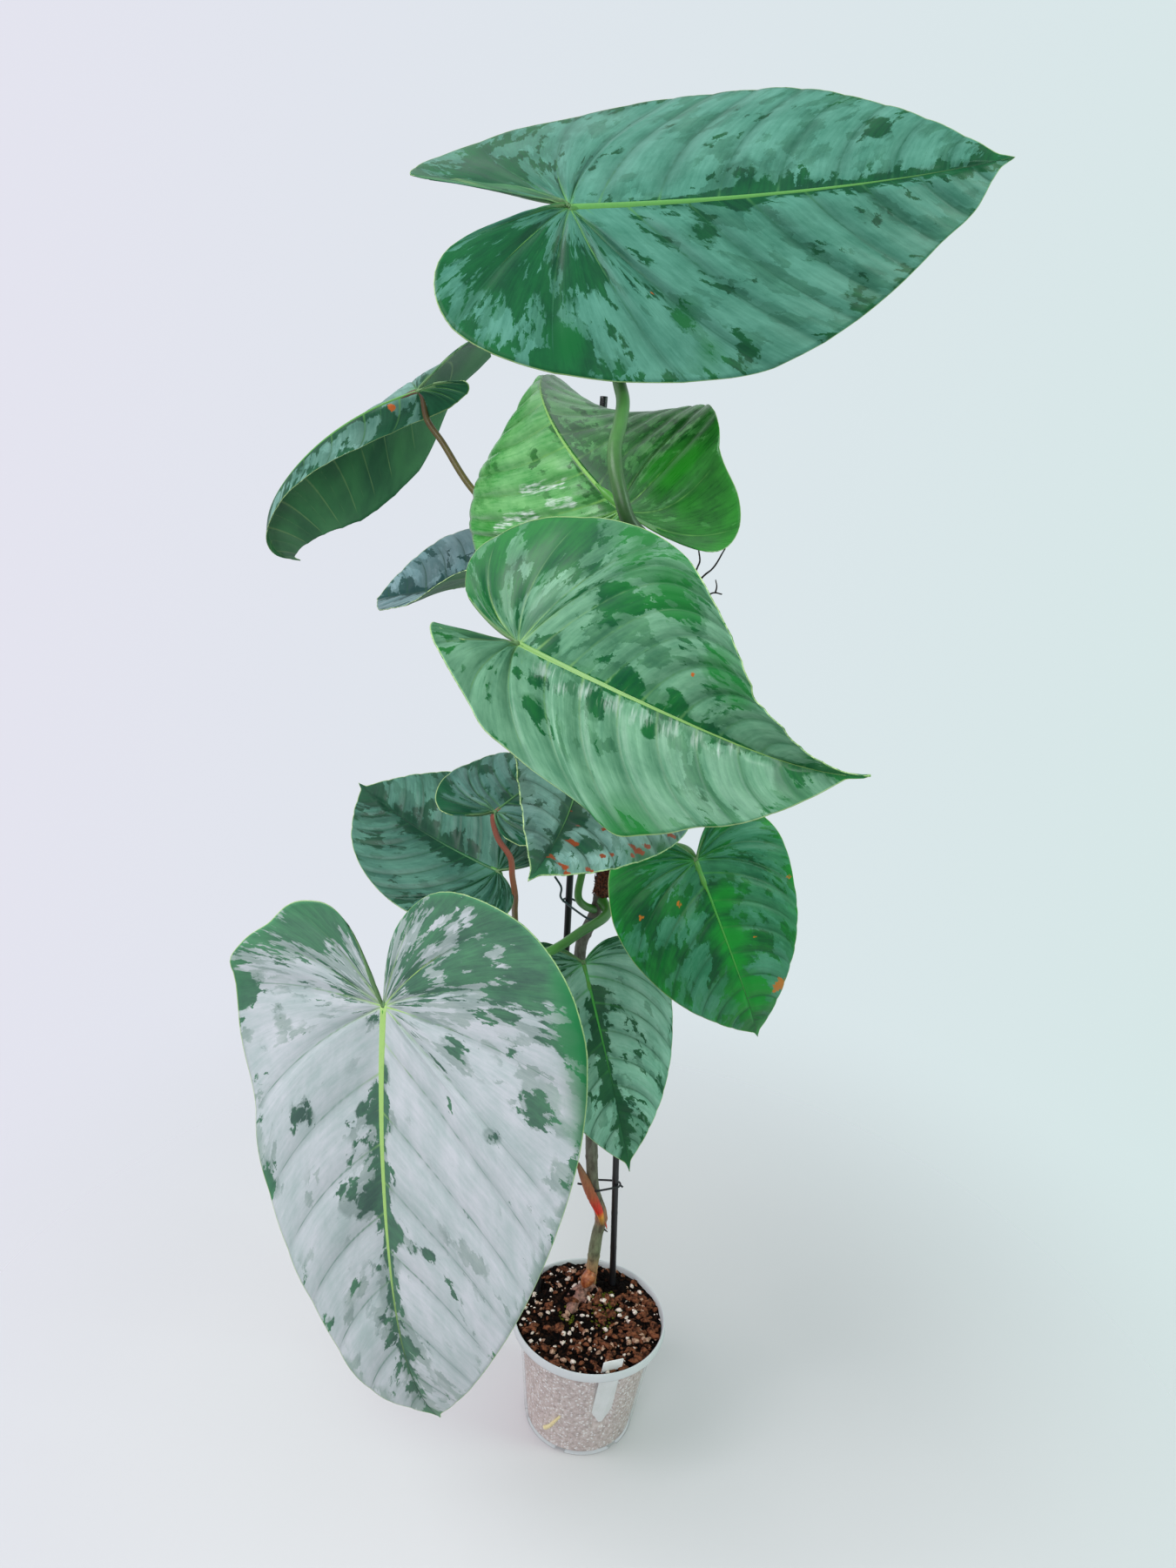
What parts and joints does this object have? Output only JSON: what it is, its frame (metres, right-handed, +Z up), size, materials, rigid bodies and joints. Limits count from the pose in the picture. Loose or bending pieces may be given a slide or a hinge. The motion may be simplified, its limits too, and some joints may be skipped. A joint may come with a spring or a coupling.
{
  "type": "potted foliage plant",
  "caption": "Climbing foliage plant with large silvery heart-shaped leaves, its stem wired to slim stakes, in a round translucent plastic pot of bark mix.",
  "frame": {"origin": "middle of the pot's base, where the pot stands", "axes": "+Z up along the pot's axis, +Y away from the side that is seen first, +X to that view's right"},
  "size_m": [0.5397, 0.4869, 1.129],
  "materials": {
    "milky_plastic": "satin",
    "bark_mix": "matte",
    "white_plastic": "satin",
    "black_stake": "satin",
    "stem_bark": "matte",
    "dry_sheath": "satin",
    "brown_fibre": "matte",
    "black_wire": "satin",
    "green_wire": "satin",
    "silver_leaf": "satin",
    "green_leaf": "satin"
  },
  "bodies": {
    "root": {"pot": "milky_plastic", "potting_mix": "bark_mix", "plant_label": "white_plastic", "tall_stake": "black_stake", "short_stake": "black_stake", "stem": "stem_bark", "stem_sheath": "dry_sheath", "fibre_clump": "brown_fibre", "lower_tie": "black_wire", "upper_tie": "green_wire", "leaf_top": "silver_leaf", "leaf_upper_left": "green_leaf", "leaf_upper_middle": "green_leaf", "leaf_centre": "silver_leaf", "leaf_front": "silver_leaf", "leaf_left": "silver_leaf", "leaf_small": "silver_leaf", "leaf_behind_centre": "silver_leaf", "leaf_right": "green_leaf", "leaf_lower": "silver_leaf", "leaf_behind_left": "silver_leaf"}
  },
  "joints": []
}
